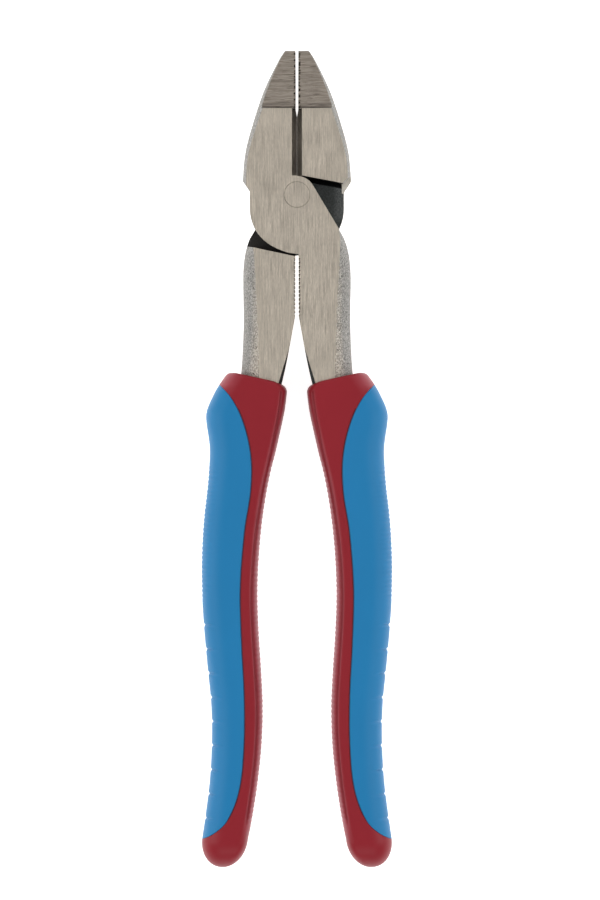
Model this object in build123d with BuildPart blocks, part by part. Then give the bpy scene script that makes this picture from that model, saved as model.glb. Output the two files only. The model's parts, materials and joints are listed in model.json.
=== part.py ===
"""Lineman pliers: two equal forged halves lapped on one rivet, with two-part moulded grips.

The pliers lie flat: x runs across the handles, y to the tips and z up, and the origin is under
their middle. Everything is drawn on three planes through the middle of the joint, so lengths in
a sketch count from the rivet's centre. Lengths are in millimetres.
"""

import os
from math import radians, tan

from build123d import *

# Overall size.
TIP_Y = 42.5  # rivet to the tips
END_Y = -198.8  # rivet to the ends of the grips
FACE_Z = 7.1  # half the thickness over the ground steel faces
GRIP_Z = 9.2  # half the thickness over the grips

# Lap joint.
LAP_GAP = 0.04  # each lap face's distance from the lap plane
BOSS_RADIUS = 5.45  # small end of each lap, beside the other half's jaw
DIAGONAL_ANGLE = 59.2  # slope of the lap's straight edge, degrees below the x axis
DIAGONAL_FOOT_Y = -9.8  # where the lap's straight edge meets the handle's rounded side
DIAGONAL_END_Y = -16.0  # the edge is drawn on to here, past that side
RIVET_RADIUS = 3.3
HEAD_RADIUS = 3.85
HEAD_DEPTH = 0.8
HEAD_EDGE = 0.12  # bevel that shows the rivet's ring on the ground face
RUNNING_GAP = 0.04  # radial clearance of the rivet in the back half

# Jaws.
EDGE_GAP = 0.01  # cutting edge's distance from the middle, with the pliers closed
JAW_GAP = 0.4  # gripping face's distance from the middle
CUTTER_FOOT_Y = 5.6
CUTTER_TIP_Y = 23.3  # the cutting edges run up to here
STEP_Y = 25.4  # step from the ground face down to the nose
CUTTER_WIDTH = 1.5
CUTTER_WALL_Z = 1.5  # where the steep relief meets the cutting bevel
NOSE_FOOT_Z = 6.0  # nose's ground face at the foot of the step
NOSE_TIP_Z = 4.75
NOSE_FILLET = 1.5
TOOTH_START_Y = 25.7  # the grooves of the gripping face begin here
TOOTH_PITCH = 1.8  # along the jaw
TOOTH_DEPTH = 0.6
TOOTH_HALF_WIDTH = 0.26
TOOTH_REACH = 10  # grooves each way from the middle of the gripping face

# Handles.
HANDLE_GAP = 0.5  # inner edge's distance from the middle
HANDLE_END_Y = -60.0  # the tang starts here, inside the grip
SERRATION_START_Y = -19.4
SERRATION_PITCH = 1.2
SERRATION_COUNT = 14
SERRATION_DEPTH = 0.42
LEDGE_DEPTH = 1.2  # the inner edge is stepped down beside the grip
LEDGE_WALL_ANGLE = 15
TANG_Z = 5.0
TANG_END_Y = -168.0
TANG_END_RADIUS = 3.5

# Grips.
COLLAR_TOP_Y = -52.4
COLLAR_BEND_X = 18.3  # inside this, the collar's top leans back
COLLAR_LEAN = 0.22  # in mm per mm
CUSHION_END_Y = -191.2
CORE_Z = 6.9  # half the thickness of the sleeve under the cushion
CORE_START_Y = -61.0
CORE_END_Y = -182.5
CORE_INNER_X = 12.5

OVERRUN = 1.0  # how far a cut runs past the surface it opens
LIP = 0.1  # the same for the small cuts, where more would change their shape
FAR_X = 20.0  # beyond the steel's outline on either side
GRIP_FAR_X = 35.0  # beyond the grips' outer edges

# Drawing planes and axes through the middle of the joint.
PIVOT = (0, (-TIP_Y - END_Y) / 2, GRIP_Z)
LAP = Plane(origin=PIVOT, x_dir=(1, 0, 0), z_dir=(0, 0, 1))  # seen from above
ACROSS = Plane(origin=PIVOT, x_dir=(1, 0, 0), z_dir=(0, -1, 0))  # seen from the grips' ends
ALONG = Plane(origin=PIVOT, x_dir=(0, 1, 0), z_dir=(1, 0, 0))  # seen from the right
RIVET_AXIS = Axis(PIVOT, (0, 0, 1))
TURN_AXIS = Axis(PIVOT, (0, 1, 0))  # half a turn round this makes the left pieces from the right


# --- Grooves of the gripping face: two sets at 45 degrees leave rows of small pyramids. ---

with BuildPart() as tooth_grooves:
    groove_mouth = TOOTH_HALF_WIDTH * (TOOTH_DEPTH + LIP) / TOOTH_DEPTH
    groove_x = PIVOT[0] - JAW_GAP
    groove_y = PIVOT[1] + (STEP_Y + TIP_Y) / 2
    for tilt, shift in ((-45, 0), (45, TOOTH_PITCH / 2)):
        for step in range(-TOOTH_REACH, TOOTH_REACH + 1):
            groove_plane = Plane(
                origin=(groove_x, groove_y + step * TOOTH_PITCH + shift, PIVOT[2]),
                x_dir=(1, 0, 0),
                z_dir=Vector(0, 1, 0).rotate(Axis.X, tilt),
            )
            with BuildSketch(groove_plane):
                Polygon((-TOOTH_DEPTH, 0), (LIP, groove_mouth), (LIP, -groove_mouth), align=None)
            extrude(amount=2 * FACE_Z, both=True)
    with BuildSketch(LAP.offset(-FACE_Z)):
        with Locations((0, TOOTH_START_Y)):
            Rectangle(FAR_X, TIP_Y + OVERRUN - TOOTH_START_Y, align=(Align.MAX, Align.MIN))
    extrude(amount=2 * FACE_Z, mode=Mode.INTERSECT)


# --- Outer sides: forged to a shallow round, and cut off flat by the ground faces. ---

# y, x of the side at the lap plane, x where the side meets the ground face.
JAW_SIDE = (
    (43.8, -2.6, -2.0),
    (38.4, -6.24, -5.24),
    (33.0, -8.9, -7.5),
    (27.6, -11.05, -9.4),
    (22.2, -12.78, -11.23),
    (16.8, -14.37, -13.02),
    (11.4, -15.49, -14.39),
    (6.0, -15.95, -14.95),
    (0.6, -16.1, -15.1),
)
HANDLE_SIDE = (
    (DIAGONAL_FOOT_Y, 12.35, 12.25),
    (-16.2, 15.1, 12.7),
    (-22.6, 15.9, 12.3),
    (-29.0, 15.9, 11.9),
    (-35.4, 15.8, 11.6),
    (-41.8, 15.9, 11.35),
    (-48.2, 16.2, 11.15),
    (-54.6, 16.7, 11.1),
    (-61.0, 17.6, 11.1),
)

with BuildPart() as jaw_side:
    for y, side_x, face_x in JAW_SIDE:
        with BuildSketch(ACROSS.offset(-y)):
            with BuildLine():
                Polyline((face_x, FACE_Z), (FAR_X, FACE_Z), (FAR_X, -FACE_Z), (face_x, -FACE_Z))
                ThreePointArc((face_x, -FACE_Z), (side_x, 0), (face_x, FACE_Z))
            make_face()
    loft()

with BuildPart() as handle_side:
    for y, side_x, face_x in HANDLE_SIDE:
        with BuildSketch(ACROSS.offset(-y)):
            with BuildLine():
                Polyline((face_x, FACE_Z), (-FAR_X, FACE_Z), (-FAR_X, -FACE_Z), (face_x, -FACE_Z))
                ThreePointArc((face_x, -FACE_Z), (side_x, 0), (face_x, FACE_Z))
            make_face()
    loft()


# --- One forged half, without its rivet hole: left jaw, front lap and right handle. ---

with BuildPart() as half_blank:
    # The part of the lap between the two rounded sides has upright edges.
    with BuildSketch(ACROSS.offset(-JAW_SIDE[-1][0])):
        Rectangle(2 * FAR_X, 2 * FACE_Z)
    extrude(amount=JAW_SIDE[-1][0] - HANDLE_SIDE[0][0])
    add(jaw_side.part)
    add(handle_side.part)

    with BuildSketch(LAP.offset(-FACE_Z - OVERRUN)):
        with BuildLine():
            Polyline(
                (-EDGE_GAP, BOSS_RADIUS),
                (-EDGE_GAP, CUTTER_TIP_Y),
                (-JAW_GAP, STEP_Y),
                (-JAW_GAP, TIP_Y),
                (-17.0, TIP_Y),
                (-17.0, 5.6),
                (-13.9, 1.1),
                (-13.9, -4.0),
            )
            Spline(
                (-13.9, -4.0),
                (-12.95, -8.8),
                (-8.85, -14.2),
                (-3.55, -16.85),
                (HANDLE_GAP, -17.55),
                tangents=((0, -1), (1, -0.1)),
            )
            Line((HANDLE_GAP, -17.55), (HANDLE_GAP, -35.3))
            Spline(
                (HANDLE_GAP, -35.3),
                (1.62, -41.5),
                (2.85, -48.2),
                (4.3, -54.8),
                (5.7, HANDLE_END_Y),
                tangents=((0.16, -1), (0.27, -1)),
            )
            diagonal_top = PolarLine((0, 0), BOSS_RADIUS, 90 - DIAGONAL_ANGLE, mode=Mode.PRIVATE) @ 1
            diagonal_run = (diagonal_top.Y - DIAGONAL_END_Y) / tan(radians(DIAGONAL_ANGLE))
            diagonal_end = (diagonal_top.X + diagonal_run, DIAGONAL_END_Y)
            Polyline(
                (5.7, HANDLE_END_Y),
                (FAR_X, HANDLE_END_Y),
                (FAR_X, DIAGONAL_END_Y),
                diagonal_end,
                (diagonal_top.X, diagonal_top.Y),
            )
            boss_middle = PolarLine((0, 0), BOSS_RADIUS, 90 - DIAGONAL_ANGLE / 2, mode=Mode.PRIVATE) @ 1
            ThreePointArc(diagonal_top, boss_middle, (-EDGE_GAP, BOSS_RADIUS))
        make_face()
    extrude(amount=2 * (FACE_Z + OVERRUN), mode=Mode.INTERSECT)

    # Lap: the back layer is cut away between the jaw's shoulder and the handle's shoulder.
    with BuildSketch(LAP.offset(-FACE_Z - OVERRUN)):
        with BuildLine():
            Polyline(
                (-20, 9.8),
                (-13.5, 3.38),
                (0.3, 5.97),
                (25, 5.97),
                (25, -13.0),
                (HANDLE_GAP, -18.2),
                (-20, -18.3),
                close=True,
            )
        make_face()
    extrude(amount=FACE_Z + OVERRUN + LAP_GAP, mode=Mode.SUBTRACT)

    # Nose: both faces step down and taper to the tip, with a hollow fillet at the step.
    with BuildSketch(ALONG.offset(-FAR_X)):
        with BuildLine():
            step_foot = (STEP_Y + NOSE_FILLET, NOSE_FOOT_Z)
            step_top = (STEP_Y, NOSE_FOOT_Z + NOSE_FILLET)
            Polyline(
                step_foot,
                (TIP_Y + OVERRUN, NOSE_TIP_Z),
                (TIP_Y + OVERRUN, FACE_Z + OVERRUN),
                (STEP_Y, FACE_Z + OVERRUN),
                step_top,
            )
            RadiusArc(step_top, step_foot, -NOSE_FILLET)
        make_face()
        mirror(about=Plane.XZ)
    extrude(amount=FAR_X + OVERRUN, mode=Mode.SUBTRACT)

    # Cutter: a steep relief from each face, then the bevel to the edge at the lap plane.
    with BuildSketch(ACROSS.offset(-CUTTER_FOOT_Y)):
        with BuildLine():
            Polyline(
                (EDGE_GAP, 0),
                (-CUTTER_WIDTH, CUTTER_WALL_Z),
                (-CUTTER_WIDTH, FACE_Z + OVERRUN),
                (OVERRUN, FACE_Z + OVERRUN),
                (OVERRUN, 0),
                close=True,
            )
        make_face()
        mirror(about=Plane.XZ)
    extrude(amount=CUTTER_FOOT_Y - STEP_Y, mode=Mode.SUBTRACT)

    # Gripping face.
    add(tooth_grooves.part, mode=Mode.SUBTRACT)

    # Serrations where the handles' inner edges run close together.
    with BuildSketch(LAP.offset(-FACE_Z)):
        for step in range(SERRATION_COUNT):
            with Locations((HANDLE_GAP, SERRATION_START_Y - step * SERRATION_PITCH)):
                Polygon(
                    (SERRATION_DEPTH, 0),
                    (-LIP, SERRATION_PITCH / 2),
                    (-LIP, -SERRATION_PITCH / 2),
                    align=None,
                )
    extrude(amount=2 * FACE_Z, mode=Mode.SUBTRACT)

    # A narrow ledge along the inner edge beside the grip, on both faces.
    for face in (1, -1):
        ledge_plane = Plane(origin=PIVOT, x_dir=(1, 0, 0), z_dir=(0, 0, face))
        with BuildSketch(ledge_plane.offset(FACE_Z - LEDGE_DEPTH)):
            Polygon(
                (1.95, -45.2 * face),
                (6.65, -60.5 * face),
                (-4.0, -60.5 * face),
                (-4.0, -45.2 * face),
                align=None,
            )
        extrude(amount=LEDGE_DEPTH + LIP, taper=-LEDGE_WALL_ANGLE, mode=Mode.SUBTRACT)

    # Tang: thinner than the handle and hidden in the grip.
    with BuildSketch(LAP.offset(-TANG_Z)):
        with BuildLine():
            tang_inner = Spline(
                (6.5, -58.0),
                (12.1, -80.0),
                (15.3, -105.0),
                (14.6, -135.0),
                (14.4, TANG_END_Y),
            )
            tang_end = RadiusArc(tang_inner @ 1, (20.9, TANG_END_Y), -TANG_END_RADIUS)
            tang_outer = Spline(
                tang_end @ 1,
                (22.6, -135.0),
                (23.8, -105.0),
                (21.0, -80.0),
                (16.5, -58.0),
            )
            Line(tang_outer @ 1, tang_inner @ 0)
        make_face()
    extrude(amount=2 * TANG_Z)


# --- The rivet and the two halves, equal but for the fit of the rivet. ---

with BuildPart() as pivot_rivet:
    with BuildSketch(ACROSS):
        Polygon(
            (0, 0),
            (RIVET_RADIUS, 0),
            (RIVET_RADIUS, FACE_Z - HEAD_DEPTH),
            (HEAD_RADIUS, FACE_Z - HEAD_DEPTH + HEAD_RADIUS - RIVET_RADIUS),
            (HEAD_RADIUS, FACE_Z - HEAD_EDGE),
            (HEAD_RADIUS - HEAD_EDGE, FACE_Z),
            (0, FACE_Z),
            align=None,
        )
        mirror(about=Plane.XZ)
    revolve(axis=RIVET_AXIS)

with BuildPart() as front_half:
    add(half_blank.part)
    with BuildSketch(ACROSS):
        Polygon(
            (0, -OVERRUN),
            (RIVET_RADIUS, -OVERRUN),
            (RIVET_RADIUS, FACE_Z - HEAD_DEPTH),
            (HEAD_RADIUS, FACE_Z - HEAD_DEPTH + HEAD_RADIUS - RIVET_RADIUS),
            (HEAD_RADIUS, FACE_Z + OVERRUN),
            (0, FACE_Z + OVERRUN),
            align=None,
        )
    revolve(axis=RIVET_AXIS, mode=Mode.SUBTRACT)

with BuildPart() as back_half:
    add(half_blank.part.rotate(TURN_AXIS, 180))
    with BuildSketch(ACROSS):
        hole = RIVET_RADIUS + RUNNING_GAP
        sink = HEAD_RADIUS + RUNNING_GAP
        sink_foot = FACE_Z - HEAD_DEPTH - RUNNING_GAP
        Polygon(
            (0, OVERRUN),
            (hole, OVERRUN),
            (hole, -sink_foot),
            (sink, hole - sink - sink_foot),
            (sink, -FACE_Z - OVERRUN),
            (0, -FACE_Z - OVERRUN),
            align=None,
        )
    revolve(axis=RIVET_AXIS, mode=Mode.SUBTRACT)


# --- Right grip: a moulded sleeve on the tang, with a soft cushion round its outer side. ---

# Sections across the grip: y, inner edge, outer edge, half thickness, inner corner, outer corner.
GRIP_SECTIONS = (
    (-52.6, 4.4, 21.0, 8.8, 1.8, 3.0),
    (-58.2, 3.0, 24.2, 9.25, 2.2, 4.5),
    (-66.0, 4.1, 26.8, 9.35, 2.2, 5.5),
    (-75.0, 6.1, 25.8, 9.15, 2.2, 5.5),
    (-85.0, 8.45, 26.4, 8.9, 2.2, 5.5),
    (-96.0, 10.2, 27.6, 9.0, 2.2, 5.5),
    (-107.0, 11.25, 28.2, 9.25, 2.2, 5.5),
    (-118.0, 11.65, 28.1, 9.35, 2.2, 5.5),
    (-129.0, 11.3, 27.4, 9.25, 2.2, 5.5),
    (-140.0, 10.6, 26.4, 9.0, 2.2, 5.5),
    (-151.0, 10.1, 25.35, 8.8, 2.2, 5.5),
    (-162.0, 10.4, 25.2, 8.7, 2.2, 5.5),
    (-173.0, 11.5, 25.8, 8.8, 2.2, 5.5),
    (-183.0, 13.0, 27.0, 8.8, 2.2, 5.5),
    (-190.5, 14.5, 28.1, 8.5, 2.2, 5.0),
    (-196.2, 16.9, 26.6, 7.2, 2.2, 4.0),
    (END_Y, 19.8, 24.2, 4.4, 1.8, 1.8),
)

with BuildPart() as grip_blank:
    for y, inner, outer, half_thickness, inner_corner, outer_corner in GRIP_SECTIONS:
        with BuildSketch(ACROSS.offset(-y)) as grip_section:
            with Locations(((inner + outer) / 2, 0)):
                Rectangle(outer - inner, 2 * half_thickness)
            fillet(grip_section.vertices().sort_by(Axis.X)[:2], inner_corner)
            fillet(grip_section.vertices().sort_by(Axis.X)[-2:], outer_corner)
    loft()
    # Both broad sides are flat where the pliers lie on them, and the collar's top leans back
    # towards the inner side.
    with BuildSketch(LAP.offset(-GRIP_Z)):
        Polygon(
            (0, END_Y - OVERRUN),
            (GRIP_FAR_X, END_Y - OVERRUN),
            (GRIP_FAR_X, COLLAR_TOP_Y),
            (COLLAR_BEND_X, COLLAR_TOP_Y),
            (0, COLLAR_TOP_Y - COLLAR_LEAN * COLLAR_BEND_X),
            align=None,
        )
    extrude(amount=2 * GRIP_Z, mode=Mode.INTERSECT)

with BuildPart() as cushion_space:
    with BuildSketch(LAP.offset(-GRIP_Z - OVERRUN)):
        with BuildLine():
            parting = Spline(
                (23.6, -55.3),
                (18.9, -60.6),
                (15.5, -68.0),
                (13.5, -77.5),
                (13.6, -87.4),
                (15.4, -99.2),
                (16.65, -116.0),
                (16.3, -131.8),
                (15.5, -148.0),
                (15.6, -163.0),
                (17.0, -175.6),
                (20.6, -184.7),
                (30.0, CUSHION_END_Y),
            )
            Polyline(parting @ 1, (GRIP_FAR_X, CUSHION_END_Y), (GRIP_FAR_X, -55.3), parting @ 0)
        make_face()
    extrude(amount=2 * (GRIP_Z + OVERRUN))

with BuildPart() as sleeve_core:
    with BuildSketch(LAP.offset(-CORE_Z)):
        with BuildLine():
            core_outer = Spline(
                (19.0, CORE_START_Y),
                (23.9, -67.0),
                (23.2, -77.0),
                (24.6, -92.0),
                (25.6, -112.0),
                (24.4, -134.0),
                (22.8, -152.5),
                (22.9, -166.0),
                (24.0, CORE_END_Y),
            )
            Polyline(
                core_outer @ 1,
                (CORE_INNER_X, CORE_END_Y),
                (CORE_INNER_X, CORE_START_Y),
                core_outer @ 0,
            )
        make_face()
    extrude(amount=2 * CORE_Z)

with BuildPart() as right_grip_cushion:
    add(grip_blank.part)
    add(cushion_space.part, mode=Mode.INTERSECT)
    add(sleeve_core.part, mode=Mode.SUBTRACT)

with BuildPart() as right_grip_sleeve:
    add(grip_blank.part)
    add(right_grip_cushion.part, mode=Mode.SUBTRACT)
    add(front_half.part, mode=Mode.SUBTRACT)

with BuildPart() as left_grip_cushion:
    add(right_grip_cushion.part.rotate(TURN_AXIS, 180))

with BuildPart() as left_grip_sleeve:
    add(right_grip_sleeve.part.rotate(TURN_AXIS, 180))


# --- Export. ---

os.makedirs("parts", exist_ok=True)
pivot_rivet.part.label = "pivot_rivet"
export_step(pivot_rivet.part, "parts/pivot_rivet.step")
front_half.part.label = "front_half"
export_step(front_half.part, "parts/front_half.step")
back_half.part.label = "back_half"
export_step(back_half.part, "parts/back_half.step")
right_grip_sleeve.part.label = "right_grip_sleeve"
export_step(right_grip_sleeve.part, "parts/right_grip_sleeve.step")
right_grip_cushion.part.label = "right_grip_cushion"
export_step(right_grip_cushion.part, "parts/right_grip_cushion.step")
left_grip_sleeve.part.label = "left_grip_sleeve"
export_step(left_grip_sleeve.part, "parts/left_grip_sleeve.step")
left_grip_cushion.part.label = "left_grip_cushion"
export_step(left_grip_cushion.part, "parts/left_grip_cushion.step")
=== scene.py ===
"""Lineman pliers in Blender: finished steel, moulded two-part grips, a pale floor and soft light.

Outlines are in millimetres from the rivet's centre: x across the handles, y to the tips, z up out
of the front face. to_frame() turns them into metres in the shared frame.
"""

import json
import math

import bmesh
import bpy
import mathutils
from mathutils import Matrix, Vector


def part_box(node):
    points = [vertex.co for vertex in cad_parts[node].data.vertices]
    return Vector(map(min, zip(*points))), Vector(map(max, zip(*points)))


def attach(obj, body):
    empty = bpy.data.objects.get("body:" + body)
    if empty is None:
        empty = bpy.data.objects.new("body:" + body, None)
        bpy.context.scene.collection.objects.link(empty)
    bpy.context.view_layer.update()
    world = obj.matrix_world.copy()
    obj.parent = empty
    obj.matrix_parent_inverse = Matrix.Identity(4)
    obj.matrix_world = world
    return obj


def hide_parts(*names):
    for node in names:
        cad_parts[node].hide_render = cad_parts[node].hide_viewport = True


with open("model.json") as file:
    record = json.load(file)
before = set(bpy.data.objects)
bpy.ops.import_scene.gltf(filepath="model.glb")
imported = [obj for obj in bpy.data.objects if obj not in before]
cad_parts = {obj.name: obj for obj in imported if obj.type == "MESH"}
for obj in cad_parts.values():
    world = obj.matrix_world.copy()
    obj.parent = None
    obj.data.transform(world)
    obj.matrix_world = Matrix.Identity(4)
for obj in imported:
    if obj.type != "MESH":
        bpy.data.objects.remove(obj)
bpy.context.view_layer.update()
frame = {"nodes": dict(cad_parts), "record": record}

MM = 0.001
RIVET = [float(v) for v in frame["record"]["behaviour"]["joints"][0]["pos_m"]]
FACE_Z = (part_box("front_half")[1][2] - RIVET[2]) / MM  # ground faces, from the lap plane
GRIP_Z = (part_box("right_grip_sleeve")[1][2] - RIVET[2]) / MM
END_Y = (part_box("right_grip_sleeve")[0][1] - RIVET[1]) / MM

# --- Grip shape ---

# Sections: y, inner edge, outer edge, half thickness.
GRIP_SECTIONS = (
    (-52.5, 5.2, 20.5, 8.7),
    (-53.4, 3.6, 21.2, 8.8),
    (-55.5, 3.05, 22.7, 9.0),
    (-58.4, 3.0, 24.4, 9.1),
    (-63.1, 3.55, 26.5, 9.15),
    (-66.0, 4.1, 26.9, 9.15),
    (-75.0, 6.1, 25.8, 9.05),
    (-85.0, 8.45, 26.4, 8.9),
    (-96.0, 10.2, 27.6, 9.0),
    (-107.0, 11.25, 28.2, 9.1),
    (-118.0, 11.65, 28.1, 9.15),
    (-129.0, 11.3, 27.4, 9.1),
    (-140.0, 10.6, 26.4, 9.0),
    (-151.0, 10.1, 25.35, 8.8),
    (-162.0, 10.4, 25.2, 8.7),
    (-173.0, 11.5, 25.8, 8.8),
    (-183.0, 13.0, 27.0, 8.8),
    (-190.5, 14.5, 28.1, 8.5),
)
# The line between sleeve and cushion on the broad sides: y, x.
PARTING = (
    (-55.3, 23.6),
    (-60.6, 18.9),
    (-68.0, 15.5),
    (-77.5, 13.5),
    (-87.4, 13.6),
    (-99.2, 15.4),
    (-116.0, 16.65),
    (-131.8, 16.3),
    (-148.0, 15.5),
    (-163.0, 15.6),
    (-175.6, 17.0),
    (-184.7, 20.6),
    (-188.4, 24.6),
    (-191.2, 30.0),
)
DOME_Y = GRIP_SECTIONS[-1][0]  # the rounded end starts here
COLLAR_Y = GRIP_SECTIONS[0][0]
COLLAR_BEND_X = 18.3  # inside this, the collar's top leans back
COLLAR_LEAN = 0.22  # in mm per mm
COLLAR_BLEND = 7.0  # length over which the lean dies out
COLLAR_RIM = 0.7  # rounding round the collar's top
INNER_CORNER = 3.0  # how far the inner rounding reaches onto the broad side
OUTER_CORNER = 6.5
INNER_SHARE, OUTER_SHARE = 0.3, 0.5  # the most of the width that each rounding takes
INNER_ROUND = (2.8, 3.2)  # superellipse exponents along x and z, where 2 is an ellipse
OUTER_ROUND = (2.3, 2.6)
CROWN = 0.25  # how much the broad side's middle stands proud
DOME_DRIFT = 0.8  # how far outwards the rounded end's middle drifts
TINY = 1e-6

# Relief moulded in the grip. Each span runs from its first y to its last.
SEAM_DEPTH, SEAM_WIDTH = 0.22, 0.15
CREASE_DEPTH, CREASE_WIDTH = 0.32, 0.3
CREASE_SHADE_SPREAD = 1.4  # its painted shade is this much wider than the crease
# y, and how far the crease runs from the inner edge.
CREASE_LINE = ((-57.0, 1.6), (-84.0, 1.15), (-118.0, 1.65), (-187.0, 1.5))
CREASE_SPAN = (-56.5, -187.0)
RIB_PITCH, RIB_HEIGHT = 1.55, 0.13
RIB_SPAN = (-76.0, -188.0)
RIB_FADE = (0.15, 0.6)  # inside the crease, the ribs rise between these distances from it
TEETH_SPAN = (-79.0, -121.0)
TEETH_PITCH, TEETH_HEIGHT = 1.4, 0.16
NOTCH_FIRST_Y, NOTCH_PITCH, NOTCH_COUNT = -127.0, -7.14, 9
NOTCH_DEPTH, NOTCH_HALF_WIDTH = 0.45, 0.8
NOTCH_ROUND = 1.5
OUTER_BAND = (4.2, 0.8)  # teeth and notches rise between these distances from the outer edge

# How finely the grips are meshed.
STATION_STEP = 0.3
FINE_SHARE = 5  # rings this many times closer where the cushion begins and ends
FINE_START = (-57.0, -55.3)
FINE_END_Y = -189.0
COLLAR_RINGS = 5
DOME_RINGS = 40
EDGE_STEPS = 40  # points round the inner edge
SLEEVE_STEPS = 26  # from there to the seam
CUSHION_STEPS = 34  # from the seam round the outer edge
SEAM_STEPS = (0.012, 0.026, 0.045, 0.07, 0.11)  # extra points close to the seam
SHARP_DEGREES = 48  # edges folded more than this are shaded sharp
S_STEP = 1e-3  # step of s over which the outline's direction is taken
OUTER_S = 2.99  # just short of the outer edge
BISECTIONS = 40
JOIN_DISTANCE = 2e-6  # in m; points closer than this become one


def to_frame(x, y, z):
    """Millimetres from the rivet's centre as metres in the shared frame."""
    return (RIVET[0] + x * MM, RIVET[1] + y * MM, RIVET[2] + z * MM)


def smooth(low, high, value):
    """0 below low, 1 above high, with a smooth step between; low may be the larger."""
    t = min(max((value - low) / (high - low), 0.0), 1.0)
    return t * t * (3 - 2 * t)


def within(span, y, start_fade=4, end_fade=4):
    """1 between the two ends of a span of y, fading to 0 at each end."""
    return smooth(span[0], span[0] - start_fade, y) * smooth(span[1], span[1] + end_fade, y)


def curve_value(points, y):
    """The value at y on a smooth curve through (y, value) points, whose y falls."""
    if y >= points[0][0]:
        return points[0][1]
    if y <= points[-1][0]:
        return points[-1][1]
    i = next(k for k in range(len(points) - 1) if points[k + 1][0] <= y)

    def slope(k):
        if k == 0:
            a, b = points[0], points[1]
        elif k == len(points) - 1:
            a, b = points[-2], points[-1]
        else:
            a, b = points[k - 1], points[k + 1]
        return (b[1] - a[1]) / (b[0] - a[0])

    (y0, v0), (y1, v1) = points[i], points[i + 1]
    span = y1 - y0
    t = (y - y0) / span
    return (
        v0 * (1 + 2 * t) * (1 - t) ** 2
        + slope(i) * span * t * (1 - t) ** 2
        + v1 * t * t * (3 - 2 * t)
        + slope(i + 1) * span * t * t * (t - 1)
    )


INNER = [(row[0], row[1]) for row in GRIP_SECTIONS]
OUTER = [(row[0], row[2]) for row in GRIP_SECTIONS]
THICKNESS = [(row[0], row[3]) for row in GRIP_SECTIONS]


class Section:
    """The grip's outline across its length at one y, as an upper half from inner to outer edge."""

    def __init__(self, y):
        self.y = y
        self.inner = curve_value(INNER, y)
        self.outer = curve_value(OUTER, y)
        self.half = curve_value(THICKNESS, y)
        if y < DOME_Y:
            round_off = math.sqrt(max(1 - ((DOME_Y - y) / (DOME_Y - END_Y)) ** 2, 0.0))
            drift = DOME_DRIFT * (DOME_Y - y) / (DOME_Y - END_Y)
            middle = (self.inner + self.outer) / 2 + drift
            reach = (self.outer - self.inner) / 2 * round_off
            self.inner, self.outer = middle - reach, middle + reach
            self.half *= round_off
        width = self.outer - self.inner
        self.inner_corner = min(INNER_CORNER, width * INNER_SHARE)
        self.outer_corner = min(OUTER_CORNER, width * OUTER_SHARE)
        self.parting = curve_value(PARTING, y)

    def point(self, s):
        """s runs 0 to 1 round the inner edge, 1 to 2 over the flat, 2 to 3 round the outer edge."""
        left = self.inner + self.inner_corner
        right = self.outer - self.outer_corner
        face = self.half - CROWN * min(self.half / GRIP_Z, 1)
        if s <= 1:
            angle = s * math.pi / 2
            x = left - self.inner_corner * math.cos(angle) ** (2 / INNER_ROUND[0])
            z = face * math.sin(angle) ** (2 / INNER_ROUND[1])
        elif s <= 2:
            x = left + (right - left) * (s - 1)
            z = face
        else:
            angle = (s - 2) * math.pi / 2
            x = right + self.outer_corner * math.sin(angle) ** (2 / OUTER_ROUND[0])
            z = face * math.cos(angle) ** (2 / OUTER_ROUND[1])
        across = (x - self.inner) / max(self.outer - self.inner, TINY)
        z += (self.half - face) * math.sin(math.pi * min(max(across, 0), 1)) * (z / max(face, TINY))
        return x, z

    def parting_s(self):
        """The s where the parting line crosses this outline, or 3 where the sleeve goes all round."""
        if self.parting >= self.outer or self.y > PARTING[0][0] or self.y < PARTING[-1][0]:
            return 3.0
        low, high = 1.0, 3.0
        for _ in range(BISECTIONS):
            middle = (low + high) / 2
            if self.point(middle)[0] < self.parting:
                low = middle
            else:
                high = middle
        return (low + high) / 2


def crease_strength(y, from_inner, width):
    """How strong the crease is at this place: 1 on its line and 0 away from it."""
    off_line = (from_inner - curve_value(CREASE_LINE, y)) / width
    return within(CREASE_SPAN, y, start_fade=2) * math.exp(-(off_line**2))


def relief(section, x, seam_distance):
    """How far the moulded surface stands out of the plain outline, in mm."""
    y = section.y
    out = -SEAM_DEPTH * math.exp(-((seam_distance / SEAM_WIDTH) ** 2))
    from_inner = x - section.inner
    from_outer = section.outer - x
    crease_x = curve_value(CREASE_LINE, y)
    out -= CREASE_DEPTH * crease_strength(y, from_inner, CREASE_WIDTH)
    ribs = 0.5 + 0.5 * math.cos(2 * math.pi * y / RIB_PITCH)
    near_inner = smooth(crease_x - RIB_FADE[0], crease_x - RIB_FADE[1], from_inner)
    out -= within(RIB_SPAN, y) * near_inner * RIB_HEIGHT * ribs
    teeth = 0.5 + 0.5 * math.cos(2 * math.pi * y / TEETH_PITCH)
    near_edge = smooth(*OUTER_BAND, from_outer)
    out -= near_edge * within(TEETH_SPAN, y) * TEETH_HEIGHT * teeth
    for k in range(NOTCH_COUNT):
        away = (y - (NOTCH_FIRST_Y + k * NOTCH_PITCH)) / NOTCH_HALF_WIDTH
        if abs(away) < 1:
            out -= near_edge * NOTCH_DEPTH * (1 - abs(away)) ** NOTCH_ROUND
    return out


def collar_top(x):
    """How far the collar's top lies behind its front edge at x."""
    return -COLLAR_LEAN * max(COLLAR_BEND_X - x, 0)


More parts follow.
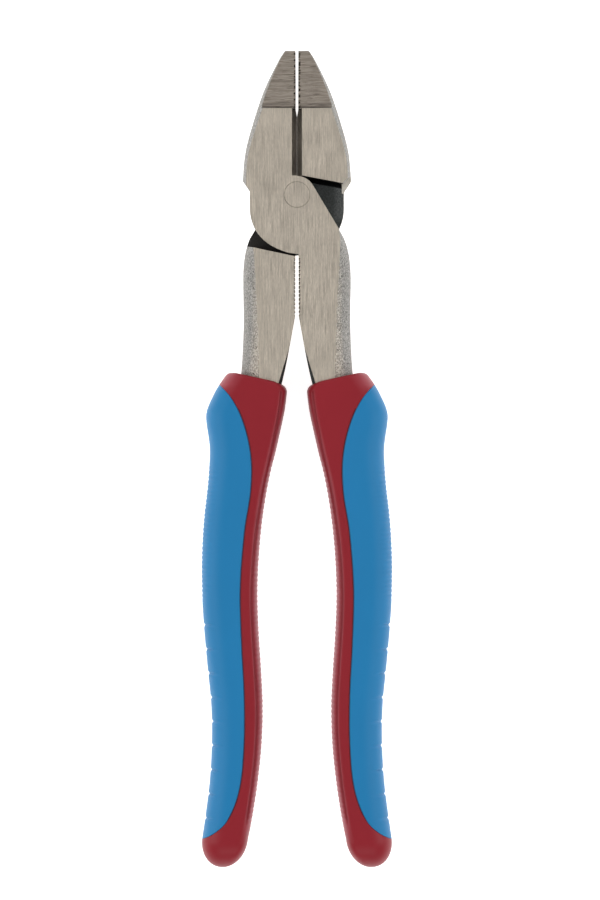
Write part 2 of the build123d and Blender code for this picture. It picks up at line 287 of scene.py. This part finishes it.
def surface_point(section, s, seam_s, inset=0.0):
    """A point of the finished surface in mm: outline, relief, the rim's inset and the collar's lean."""
    x, z = section.point(s)
    xa, za = section.point(max(s - S_STEP, 0))
    xb, zb = section.point(min(s + S_STEP, 3))
    nx, nz = za - zb, xb - xa
    if s < S_STEP:
        nx, nz = -1, 0
    if s > 3 - S_STEP:
        nx, nz = 1, 0
    size = math.hypot(nx, nz) or 1.0
    nx, nz = nx / size, nz / size
    seam_x, seam_z = section.point(seam_s)
    seam_distance = math.hypot(x - seam_x, z - seam_z) if seam_s < 3 else math.inf
    out = relief(section, x, seam_distance) - inset
    x, z = x + nx * out, z + nz * out
    lean = smooth(COLLAR_Y - COLLAR_BLEND, COLLAR_Y, section.y)
    return x, section.y + lean * collar_top(x), max(z, 0.0)


def spread(start, end, count, start_steps=(), end_steps=()):
    """Parameters from start to end: count even ones, with extra ones close to either end."""
    values = [start + (end - start) * k / count for k in range(count + 1)]
    values += [start + v for v in start_steps] + [end - v for v in end_steps]
    return sorted(v for v in values if start <= v <= end)


# --- Grip meshes ---


def stations():
    """(y, inset) of each ring of the grip from the collar's top to the rounded end."""
    rows = []
    for k in range(COLLAR_RINGS + 1):
        angle = math.pi / 2 * k / COLLAR_RINGS
        rows.append((COLLAR_Y - COLLAR_RIM * (1 - math.cos(angle)), COLLAR_RIM * (1 - math.sin(angle))))
    y = COLLAR_Y - COLLAR_RIM
    while y > PARTING[-1][0]:
        near_parting_end = FINE_START[0] < y < FINE_START[1] or y < FINE_END_Y
        y -= STATION_STEP / FINE_SHARE if near_parting_end else STATION_STEP
        rows.append((y, 0.0))
    dome_length = DOME_Y - END_Y
    first_angle = math.asin((DOME_Y - y) / dome_length)
    for k in range(1, DOME_RINGS + 1):
        angle = first_angle + (math.pi / 2 - first_angle) * k / DOME_RINGS
        rows.append((DOME_Y - dome_length * math.sin(angle), 0.0))
    return rows


def half_rings(part):
    """The upper half of each ring of the sleeve or the cushion, in mm, all with as many points."""
    if part == "sleeve":
        full = EDGE_STEPS + SLEEVE_STEPS + 1 + len(SEAM_STEPS)
    else:
        full = CUSHION_STEPS + 1 + len(SEAM_STEPS)
    rings = []
    pinch = None
    for y, inset in stations():
        section = Section(y)
        seam_s = section.parting_s()
        if part == "sleeve":
            round_edge = [k / EDGE_STEPS for k in range(EDGE_STEPS)]
            values = round_edge + spread(1.0, seam_s, SLEEVE_STEPS, end_steps=SEAM_STEPS)
        else:
            values = spread(seam_s, 3.0, CUSHION_STEPS, start_steps=SEAM_STEPS)
        if part == "cushion" and seam_s >= 3.0:
            # Where the cushion begins and ends, its ring shrinks to one point on the outer edge.
            point = surface_point(section, 3.0, OUTER_S, inset)
            ring = [point] * full
            if rings and len(set(rings[-1])) > 1:
                rings.append(ring)
                break
            pinch = ring
            continue
        if pinch and not rings:
            rings.append(pinch)
        ring = [surface_point(section, s, seam_s, inset) for s in values]
        while len(ring) < full:
            ring.append(ring[-1])
        rings.append(ring[:full])
    return rings


def grip_mesh(name, rings, side, close_top):
    """A closed mesh from upper half rings. side is 1 on the right and -1 on the left, turned over."""
    size = len(rings[0])
    points = []
    for ring in rings:
        for z_side in (1, -1):
            points += [to_frame(side * x, y, side * z_side * z) for x, y, z in ring]

    def corner(row, z_side, k):
        return row * 2 * size + (0 if z_side > 0 else size) + k

    def patch(row, z_side, first, second):
        """The face between this ring and the next, from point first to point second."""
        here = [corner(row, z_side, first), corner(row, z_side, second)]
        return here + [corner(row + 1, z_side, second), corner(row + 1, z_side, first)]

    faces = []
    for row in range(len(rings) - 1):
        for k in range(size - 1):
            faces.append(patch(row, 1, k, k + 1))
            faces.append(patch(row, -1, k + 1, k))
        for k in (0, size - 1):
            upper = [corner(row, 1, k), corner(row + 1, 1, k)]
            faces.append(upper + [corner(row + 1, -1, k), corner(row, -1, k)])
    if close_top:
        for k in range(size - 1):
            faces.append([corner(0, 1, k + 1), corner(0, 1, k), corner(0, -1, k), corner(0, -1, k + 1)])
    mesh = bpy.data.meshes.new(name)
    mesh.from_pydata(points, [], faces)
    shape = bmesh.new()
    shape.from_mesh(mesh)
    bmesh.ops.remove_doubles(shape, verts=shape.verts, dist=JOIN_DISTANCE)
    bmesh.ops.dissolve_degenerate(shape, edges=shape.edges, dist=1e-7)
    bmesh.ops.recalc_face_normals(shape, faces=shape.faces)
    for face in shape.faces:
        face.smooth = True
    for edge in shape.edges:
        if len(edge.link_faces) == 2 and edge.calc_face_angle(0) > math.radians(SHARP_DEGREES):
            edge.smooth = False
    shape.to_mesh(mesh)
    shape.free()
    # The sleeve's material paints shade into the crease by this attribute.
    crease = mesh.attributes.new("crease", "FLOAT", "POINT")
    for k, vertex in enumerate(mesh.vertices):
        x = side * (vertex.co.x - RIVET[0]) / MM
        y = (vertex.co.y - RIVET[1]) / MM
        crease.data[k].value = crease_strength(y, x - curve_value(INNER, y), CREASE_SHADE_SPREAD * CREASE_WIDTH)
    piece = bpy.data.objects.new(name, mesh)
    bpy.context.scene.collection.objects.link(piece)
    return piece


# --- Materials ---


class Graph:
    """A material's node tree, with short calls for the nodes used here."""

    def __init__(self, name, metallic, specular=0.5):
        self.material = bpy.data.materials.new(name)
        self.material.use_nodes = True
        self.tree = self.material.node_tree
        self.shader = self.tree.nodes["Principled BSDF"]
        self.shader.inputs["Metallic"].default_value = metallic
        self.shader.inputs["Specular IOR Level"].default_value = specular

    def feed(self, socket, value):
        """Links a node's output to the socket, or sets the socket to a plain value."""
        if isinstance(value, bpy.types.NodeSocket):
            self.tree.links.new(value, socket)
        else:
            socket.default_value = value

    def math(self, operation, a, b=0.0, clamp=False):
        """One Math node's result."""
        node = self.tree.nodes.new("ShaderNodeMath")
        node.operation = operation
        node.use_clamp = clamp
        self.feed(node.inputs[0], a)
        self.feed(node.inputs[1], b)
        return node.outputs[0]

    def product(self, *values):
        """All the values multiplied, which is where all of several masks hold."""
        total = values[0]
        for value in values[1:]:
            total = self.math("MULTIPLY", total, value)
        return total

    def above(self, value, edge, soft=0.0):
        """1 where value is over edge, 0 below, over a soft band if one is given."""
        if not soft:
            return self.math("GREATER_THAN", value, edge)
        return self.math("DIVIDE", self.math("SUBTRACT", value, edge - soft / 2), soft, clamp=True)

    def below(self, value, edge, soft=0.0):
        """1 where value is under edge, 0 above."""
        return self.math("SUBTRACT", 1.0, self.above(value, edge, soft))

    def mix(self, factor, a, b):
        """Mix of two colours."""
        node = self.tree.nodes.new("ShaderNodeMix")
        node.data_type = "RGBA"
        self.feed(node.inputs[0], factor)
        self.feed(node.inputs[6], (*a, 1) if isinstance(a, tuple) else a)
        self.feed(node.inputs[7], (*b, 1) if isinstance(b, tuple) else b)
        return node.outputs[2]

    def blend(self, factor, a, b):
        """Mix of two numbers."""
        node = self.tree.nodes.new("ShaderNodeMix")
        node.data_type = "FLOAT"
        self.feed(node.inputs[0], factor)
        self.feed(node.inputs[2], a)
        self.feed(node.inputs[3], b)
        return node.outputs[0]

    def attribute(self, name):
        """The number that each point of the mesh holds under this name."""
        node = self.tree.nodes.new("ShaderNodeAttribute")
        node.attribute_name = name
        return node.outputs["Fac"]

    def tint(self, colour, value):
        """colour times the number value."""
        node = self.tree.nodes.new("ShaderNodeVectorMath")
        node.operation = "SCALE"
        self.feed(node.inputs[0], colour)
        self.feed(node.inputs["Scale"], value)
        return node.outputs[0]

    def place(self):
        """Position on the object in mm from the rivet, as a vector and its parts."""
        coordinates = self.tree.nodes.new("ShaderNodeTexCoord")
        shift = self.tree.nodes.new("ShaderNodeVectorMath")
        shift.operation = "SUBTRACT"
        self.feed(shift.inputs[0], coordinates.outputs["Object"])
        shift.inputs[1].default_value = RIVET
        scale = self.tree.nodes.new("ShaderNodeVectorMath")
        scale.operation = "SCALE"
        self.feed(scale.inputs[0], shift.outputs[0])
        scale.inputs["Scale"].default_value = 1 / MM
        parts = self.tree.nodes.new("ShaderNodeSeparateXYZ")
        self.feed(parts.inputs[0], scale.outputs[0])
        facing = self.tree.nodes.new("ShaderNodeSeparateXYZ")
        self.feed(facing.inputs[0], coordinates.outputs["Normal"])
        self.where = scale.outputs[0]
        self.x, self.y, self.z = parts.outputs
        self.facing = facing.outputs

    def noise(self, per_mm, detail=3.0, roughness=0.55):
        """Noise from 0 to 1 with so many features per mm along x, y and z."""
        node = self.tree.nodes.new("ShaderNodeVectorMath")
        node.operation = "MULTIPLY"
        self.feed(node.inputs[0], self.where)
        node.inputs[1].default_value = per_mm
        grain = self.tree.nodes.new("ShaderNodeTexNoise")
        self.feed(grain.inputs["Vector"], node.outputs[0])
        grain.inputs["Scale"].default_value = 1.0
        grain.inputs["Detail"].default_value = detail
        grain.inputs["Roughness"].default_value = roughness
        return grain.outputs[0]

    def stretch(self, value, spread=0.45):
        """The middle part of a noise's range, stretched over 0 to 1."""
        return self.above(value, 0.5, spread)

    def around(self, value, swing):
        """A 0 to 1 value as a factor round 1, from 1 - swing to 1 + swing."""
        return self.math("ADD", self.math("MULTIPLY", value, 2 * swing), 1 - swing)

    def bump(self, height, distance_mm, strength):
        """Raises the surface where height is greater."""
        node = self.tree.nodes.new("ShaderNodeBump")
        node.inputs["Strength"].default_value = strength
        node.inputs["Distance"].default_value = distance_mm * MM
        self.feed(node.inputs["Height"], height)
        self.feed(self.shader.inputs["Normal"], node.outputs[0])

    def finish(self, colour, roughness):
        """Feeds the shader and returns the material."""
        self.feed(self.shader.inputs["Base Color"], colour)
        self.feed(self.shader.inputs["Roughness"], roughness)
        return self.material


GROUND = (0.615, 0.55, 0.46)
MILLED = (0.38, 0.33, 0.28)
BLASTED = (0.30, 0.29, 0.272)
BLASTED_RIM = (0.47, 0.43, 0.375)  # where the side rolls over to the ground face
OXIDE = (0.030, 0.035, 0.034)
SCALE_BROWN = (0.010, 0.007, 0.005)
# painted highlight on the recess's rounded outer edge
EDGE_HIGHLIGHT = (0.085, 0.092, 0.090)
SHADOWED = (0.004, 0.004, 0.004)
BEVEL = (0.47, 0.41, 0.34)
# painted light on the facet, against the shade the jaw casts on it
PAINTED_FACET_LIGHT = (0.72, 0.68, 0.61)
RIVET_RING = (0.28, 0.24, 0.2)

# Where the steel's finishes change.
STEP_Y, STEP_WIDTH = 25.4, 1.45  # foot of the recessed nose, and its fillet, painted darker as shade
TEETH_X = 1.05  # the gripping teeth lie inside this
CUTTER_START_Y, CUTTER_X = 5.4, 1.65
FACET_X, FACET_Y = 13.3, 0.6  # the small facet at the jaw's outer rear corner, painted paler as light
LAP_TOP_Y = 8.0
SHOULDER_SPAN, SHOULDER_X = (6.5, -19.0), 13.6
LEDGE_Y, LEDGE_X, LEDGE_DEPTH = -44.0, 8.0, 1.3  # where the handle enters the grip
SHADOW_Y, SHADOW_LEAN = 4.6, 0.19  # the recess is painted black as the shoulder's shadow above this slanting line
# where the recess's outer edge gets its painted highlight
EDGE_HIGHLIGHT_X, EDGE_HIGHLIGHT_Y = 11.4, -7.0
BROWN_Y = -8.0
SERRATION_PITCH, SERRATION_SHIFT = 1.2, 1.1
SERRATION_SPAN = (-18.8, -35.6)
SERRATION_X = 0.95
RIVET_RADIUS = 3.72  # the inside of the dark ring at its rim


def ground_finish(g):
    """The fine lengthwise grain of the ground faces: tone, roughness and bump height."""
    streaks = g.stretch(g.noise((3.4, 0.16, 3.4), detail=4.0))
    fine_streaks = g.stretch(g.noise((9.0, 0.8, 9.0), detail=2.0))
    tone = g.product(g.around(streaks, 0.17), g.around(fine_streaks, 0.12))
    return tone, g.blend(streaks, 0.36, 0.5), g.math("MULTIPLY", fine_streaks, 0.12)


def steel_material():
    """Forged steel: ground broad faces, milled nose, blasted sides, dark oxide in the recesses."""
    g = Graph("forged_steel_finish", metallic=1.0)
    g.place()
    off_x = g.math("ABSOLUTE", g.x)
    off_z = g.math("ABSOLUTE", g.z)
    # How squarely the surface faces up or down, and across: 1 squarely, 0 not at all.
    up = g.math("ABSOLUTE", g.facing[2])
    across = g.math("ABSOLUTE", g.facing[0])
    lengthwise = g.math("ABSOLUTE", g.facing[1])
    on_right = g.above(g.x, 0.0)

    # Each of these is 1 on its part of the steel and 0 elsewhere.
    below_face = g.below(off_z, FACE_Z - 0.05)
    # The grinding runs out raggedly where the face meets the blasted side.
    run_out = g.math("SUBTRACT", g.noise((1.6, 0.9, 1.6), detail=4.0), 0.5)
    run_out = g.math("MULTIPLY", g.math("MAXIMUM", run_out, 0.0), 1.8)
    rim = g.above(g.math("ADD", off_z, run_out), FACE_Z - 0.02)
    flat = g.above(up, 0.97)
    face = g.product(rim, g.above(off_z, FACE_Z - 0.02))
    head = g.above(g.y, STEP_Y)
    nose = g.product(head, g.above(up, 0.5), below_face)
    # The fillet at the nose's foot gets painted shade.
    step = g.product(g.below(g.y, STEP_Y + STEP_WIDTH, 0.5), nose)
    tooth_grooves = g.product(head, g.below(off_x, TEETH_X), g.below(up, 0.7), g.below(across, 0.9))
    cutter = g.product(
        g.above(g.y, CUTTER_START_Y), g.below(g.y, STEP_Y), g.below(off_x, CUTTER_X), below_face
    )
    cutter_wall = g.product(cutter, g.above(across, 0.9))
    corner = g.product(g.above(off_x, FACET_X), g.above(g.y, FACET_Y))
    lap_level = g.product(g.below(off_z, 0.3), g.above(up, 0.9))
    facet = g.product(corner, lap_level)
    lap = g.product(lap_level, g.below(g.y, LAP_TOP_Y), g.below(corner, 0.5))
    shoulder = g.product(
        g.above(lengthwise, 0.6),
        below_face,
        g.below(g.y, SHOULDER_SPAN[0]),
        g.above(g.y, SHOULDER_SPAN[1]),
        g.below(off_x, SHOULDER_X),
    )
    ledge = g.product(
        g.below(g.y, LEDGE_Y), g.below(off_x, LEDGE_X), below_face, g.above(off_z, FACE_Z - LEDGE_DEPTH)
    )
    recess = g.math("MAXIMUM", lap, shoulder)
    dark = g.math("MAXIMUM", recess, g.math("MAXIMUM", ledge, tooth_grooves))
    dark = g.math("MAXIMUM", dark, cutter_wall)

    # Black dots on the serrations, most of them near the joint: painted shade of their gullets, with oil.
    from_groove = g.math("ADD", g.y, SERRATION_SHIFT)
    wave = g.math("SINE", g.math("MULTIPLY", from_groove, 2 * math.pi / SERRATION_PITCH))
    oil_and_shade = g.product(g.below(g.y, SERRATION_SPAN[0]), g.above(g.y, SERRATION_SPAN[1], 14.0), face)
    oil_and_shade = g.product(oil_and_shade, g.above(wave, 0.2, 0.4), g.below(off_x, SERRATION_X, 0.2))
    oil_and_shade = g.product(oil_and_shade, g.blend(on_right, 0.5, 1.0))
    # Dirt and painted shade beside the gripping teeth, most of it on the right jaw.
    blotches = g.above(g.noise((0.4, 1.5, 0.4), detail=1.0), 0.52, 0.1)
    dirt_and_shade = g.product(g.below(off_x, 1.0, 0.5), blotches, nose)
    oil_and_shade = g.math("MAXIMUM", oil_and_shade, g.product(dirt_and_shade, g.blend(on_right, 0.35, 0.95)))

    tone, ground_roughness, ground_height = ground_finish(g)
    lines = g.stretch(g.noise((0.16, 3.4, 0.4), detail=4.0, roughness=0.65))
    scratches = g.above(g.noise((0.3, 5.5, 0.6), detail=1.0), 0.64, 0.08)
    speckle = g.stretch(g.noise((2.3, 1.8, 2.3), detail=4.0, roughness=0.75), 0.26)
    pits = g.above(g.noise((1.3, 1.3, 1.3), detail=1.0), 0.7, 0.05)
    cloud = g.noise((0.12, 0.12, 0.12), detail=2.0)

    ground = g.tint(GROUND, g.product(tone, g.around(cloud, 0.1)))
    milled = g.product(g.around(lines, 0.4), g.blend(scratches, 1.0, 0.45), g.blend(step, 1.0, 0.5))
    milled = g.tint(MILLED, milled)
    blasted = g.tint(
        g.mix(g.above(up, 0.8, 0.2), BLASTED, BLASTED_RIM),
        g.product(g.around(speckle, 0.5), g.around(cloud, 0.1), g.blend(pits, 1.0, 0.3)),
    )
    bevel = g.tint(BEVEL, g.around(g.noise((2.0, 0.6, 2.0)), 0.35))

    # The recess at the lower left is browner. Beside a jaw's shoulder the recess is painted black as the
    # shoulder's shadow, and its outer edge gets a paler painted highlight.
    brown = g.product(g.below(g.x, 0.0), g.below(g.y, BROWN_Y))
    from_shoulder = g.math("ADD", g.y, g.math("MULTIPLY", off_x, SHADOW_LEAN))
    # Painted shadow: black in the recess beside the jaw's shoulder.
    shoulder_shadow = g.product(g.above(from_shoulder, SHADOW_Y, 0.5), recess)
    # The teeth's grooves are painted black as shadow as well.
    painted_shadow = g.math("MAXIMUM", shoulder_shadow, tooth_grooves)
    # Painted highlight along the recess's rounded outer edge.
    edge_highlight = g.product(g.above(off_x, EDGE_HIGHLIGHT_X, 1.6), g.above(g.y, EDGE_HIGHLIGHT_Y, 2.0), g.below(g.y, LAP_TOP_Y))
    oxide = g.mix(brown, OXIDE, SCALE_BROWN)
    oxide = g.mix(g.product(edge_highlight, 0.8), oxide, EDGE_HIGHLIGHT)
    oxide = g.mix(painted_shadow, oxide, SHADOWED)
    oxide = g.tint(oxide, g.around(speckle, 0.5))

    # Where the ground face starts to roll over, it is painted darker as shade, to hold back the light it
    # catches there.
    colour = g.mix(rim, blasted, g.mix(flat, g.tint(ground, 0.62), ground))
    colour = g.mix(nose, colour, milled)
    colour = g.mix(cutter, colour, bevel)
    # Painted light: the facet is paler than the steel round it.
    colour = g.mix(facet, colour, PAINTED_FACET_LIGHT)
    colour = g.mix(dark, colour, oxide)
    # Oil, dirt and painted shade are black.
    colour = g.mix(oil_and_shade, colour, SHADOWED)

    roughness = g.blend(face, 0.6, ground_roughness)
    roughness = g.blend(nose, roughness, 0.42)
    roughness = g.blend(g.math("MAXIMUM", dark, cutter), roughness, 0.55)

    height = g.blend(face, speckle, ground_height)
    height = g.blend(nose, height, g.math("MULTIPLY", lines, 0.35))
    g.bump(height, 0.14, 0.7)
    # Oxide is no bare metal. In the painted shadow, metal without colour mirrors least, so it stays black.
    coated = g.product(g.math("MAXIMUM", dark, cutter), g.below(painted_shadow, 0.5))
    g.feed(g.shader.inputs["Metallic"], g.below(coated, 0.5))
    return g.finish(colour, roughness)


def rivet_material():
    """The rivet's flush heads: ground with the faces round them, and a dark ring at the rim."""
    g = Graph("rivet_finish", metallic=1.0)
    g.place()
    tone, roughness, height = ground_finish(g)
    ground = g.tint(GROUND, g.product(tone, 1.02))
    radius = g.math("SQRT", g.math("ADD", g.math("MULTIPLY", g.x, g.x), g.math("MULTIPLY", g.y, g.y)))
    ring = g.product(g.above(radius, RIVET_RADIUS, 0.06), g.above(g.noise((0.5, 0.5, 0.5)), 0.5, 0.2))
    g.bump(height, 0.12, 0.6)
    return g.finish(g.mix(ring, ground, RIVET_RING), roughness)


RED = (0.25, 0.016, 0.024)
BLUE = (0.010, 0.18, 0.40)
# Painted highlight on the red sleeve's inner strip and collar corner.
SLEEVE_HIGHLIGHT = (0.33, 0.062, 0.078)
STRIP_SPAN = (-66.0, -188.0)  # the painted highlight on the strip that faces the other handle
CORNER_END_Y = -57.5  # and on the collar's outer corner
GROOVE_SPAN = (-57.0, -184.0)
COLLAR_SPAN_X, COLLAR_END_Y = 12.0, -63.0  # outside and above these the collar's corner faces outwards


def inward_facing(g):
    """How squarely the surface faces the other handle: 1 squarely, -1 squarely away."""
    return g.math("MULTIPLY", g.facing[0], g.math("MULTIPLY", g.math("SIGN", g.x), -1.0))


def sleeve_material():
    """Satin red moulding with painted highlights, darker at its seam and with painted shade in its crease.
    """
    g = Graph("red_sleeve_finish", metallic=0.0, specular=0.16)
    g.place()
    cloud = g.noise((0.08, 0.05, 0.08), detail=2.0)
    grain = g.noise((6.0, 6.0, 6.0), detail=2.0)
    g.bump(grain, 0.03, 0.35)
    red = g.tint(RED, g.product(g.around(cloud, 0.06), g.around(grain, 0.05)))
    # The ribbed strip that faces the other handle gets a paler painted highlight, and so does the collar's
    # outer corner.
    inward = inward_facing(g)
    strip = g.product(
        g.above(inward, 0.45, 0.5), g.below(g.y, STRIP_SPAN[0], 18.0), g.above(g.y, STRIP_SPAN[1], 8.0)
    )
    collar_corner = g.product(g.below(inward, -0.3, 0.5), g.above(g.y, CORNER_END_Y, 3.0), 0.8)
    crease = g.attribute("crease")
    painted_highlight = g.product(g.math("MAXIMUM", strip, collar_corner), g.math("SUBTRACT", 1.0, crease))
    # Away from the collar's corner, only the walls of the crease and the seam face outwards; the crease is
    # darkened with painted shade, the seam as a dark joint.
    off_x = g.math("ABSOLUTE", g.x)
    clear_of_collar = g.math("MAXIMUM", g.below(off_x, COLLAR_SPAN_X), g.below(g.y, COLLAR_END_Y))
    groove = g.product(
        g.below(inward, -0.1, 0.12), g.below(g.y, GROOVE_SPAN[0], 1.5), g.above(g.y, GROOVE_SPAN[1], 2.0)
    )
    groove = g.math("MAXIMUM", g.product(groove, clear_of_collar), g.product(crease, 0.45))
    red = g.tint(g.mix(painted_highlight, red, SLEEVE_HIGHLIGHT), g.blend(groove, 1.0, 0.5))
    return g.finish(red, g.blend(grain, 0.36, 0.46))


def cushion_material():
    """Soft blue moulding, matt with a faint sheen."""
    g = Graph("blue_cushion_finish", metallic=0.0, specular=0.22)
    g.place()
    cloud = g.noise((0.07, 0.04, 0.07), detail=2.0)
    grain = g.noise((7.0, 7.0, 7.0), detail=2.0)
    g.shader.inputs["Sheen Weight"].default_value = 0.06
    g.shader.inputs["Sheen Roughness"].default_value = 0.45
    g.bump(grain, 0.03, 0.35)
    # Only the seam's wall faces the other handle.
    groove = g.above(inward_facing(g), 0.35, 0.3)
    tone = g.product(g.around(cloud, 0.05), g.around(grain, 0.05), g.blend(groove, 1.0, 0.5))
    return g.finish(g.tint(BLUE, tone), g.blend(grain, 0.46, 0.56))


def paint(piece, material):
    """Gives every slot of the piece this material."""
    if not piece.data.materials:
        piece.data.materials.append(material)
    for k in range(len(piece.data.materials)):
        piece.data.materials[k] = material


steel = steel_material()
for node in ("front_half", "back_half"):
    paint(frame["nodes"][node], steel)
paint(frame["nodes"]["pivot_rivet"], rivet_material())

finishes = {"sleeve": sleeve_material(), "cushion": cushion_material()}
for part in ("sleeve", "cushion"):
    rings = half_rings(part)
    for side_name, side, body in (("right", 1, "front"), ("left", -1, "back")):
        piece = grip_mesh(f"{side_name}_{part}", rings, side, part == "sleeve")
        piece.data.materials.append(finishes[part])
        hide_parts(f"{side_name}_grip_{part}")
        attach(piece, body)


# --- Floor, light and camera ---

FLOOR_COLOUR = (0.9, 0.9, 0.9)
FLOOR_GLOW = 0.8
FLOOR_REACH = 3.0
WORLD_STRENGTH = 0.22
LENS_MM, SENSOR_MM = 200, 36
VIEW_HEIGHT = 0.2665  # what the picture's height takes in at the lap plane
VIEW_CENTRE = (0.0009, 0.00285)
# Name, place, size and power. Each faces the pliers' middle.
SOFTBOXES = (
    ("left_softbox", (-1.1, 0.0, 1.0), (0.7, 1.4), 9),
    ("right_softbox", (1.1, 0.0, 1.0), (0.7, 1.4), 9),
    ("head_softbox", (0.0, 1.2, 1.0), (1.2, 0.6), 5.5),
    ("handle_softbox", (0.0, -1.2, 1.0), (1.2, 0.6), 5.5),
    ("left_low_softbox", (-1.2, 0.0, 0.3), (0.4, 1.4), 3.5),
    ("right_low_softbox", (1.2, 0.0, 0.3), (0.4, 1.4), 2),
)


def floor():
    """The pale floor the pliers lie on."""
    mesh = bpy.data.meshes.new("floor")
    reach = FLOOR_REACH
    corners = [(-reach, -reach, 0), (reach, -reach, 0), (reach, reach, 0), (-reach, reach, 0)]
    mesh.from_pydata(corners, [], [(0, 1, 2, 3)])
    plane = bpy.data.objects.new("floor", mesh)
    bpy.context.scene.collection.objects.link(plane)
    material = bpy.data.materials.new("pale_floor")
    material.use_nodes = True
    shader = material.node_tree.nodes["Principled BSDF"]
    shader.inputs["Base Color"].default_value = (*FLOOR_COLOUR, 1)
    shader.inputs["Roughness"].default_value = 0.9
    shader.inputs["Specular IOR Level"].default_value = 0.1
    shader.inputs["Emission Color"].default_value = (1, 1, 1, 1)
    shader.inputs["Emission Strength"].default_value = FLOOR_GLOW
    mesh.materials.append(material)


def softbox(name, place, size, power):
    """An area light at place, facing the frame's origin."""
    lamp = bpy.data.lights.new(name, "AREA")
    lamp.shape = "RECTANGLE"
    lamp.size, lamp.size_y = size
    lamp.energy = power
    holder = bpy.data.objects.new(name, lamp)
    holder.location = place
    direction = mathutils.Vector((0, 0, 0)) - mathutils.Vector(place)
    holder.rotation_euler = direction.to_track_quat("-Z", "Y").to_euler()
    bpy.context.scene.collection.objects.link(holder)


def camera():
    """Straight above the pliers, with a long lens, as a catalogue picture is taken."""
    lens = bpy.data.cameras.new("camera")
    lens.lens = LENS_MM
    lens.sensor_fit = "AUTO"
    lens.sensor_width = SENSOR_MM
    holder = bpy.data.objects.new("camera", lens)
    holder.location = (*VIEW_CENTRE, RIVET[2] + VIEW_HEIGHT * LENS_MM / SENSOR_MM)
    bpy.context.scene.collection.objects.link(holder)
    bpy.context.scene.camera = holder


floor()
for box in SOFTBOXES:
    softbox(*box)
camera()

world = bpy.data.worlds.new("studio")
world.use_nodes = True
world.node_tree.nodes["Background"].inputs["Color"].default_value = (1, 1, 1, 1)
world.node_tree.nodes["Background"].inputs["Strength"].default_value = WORLD_STRENGTH
bpy.context.scene.world = world
bpy.context.scene.view_settings.view_transform = "Standard"
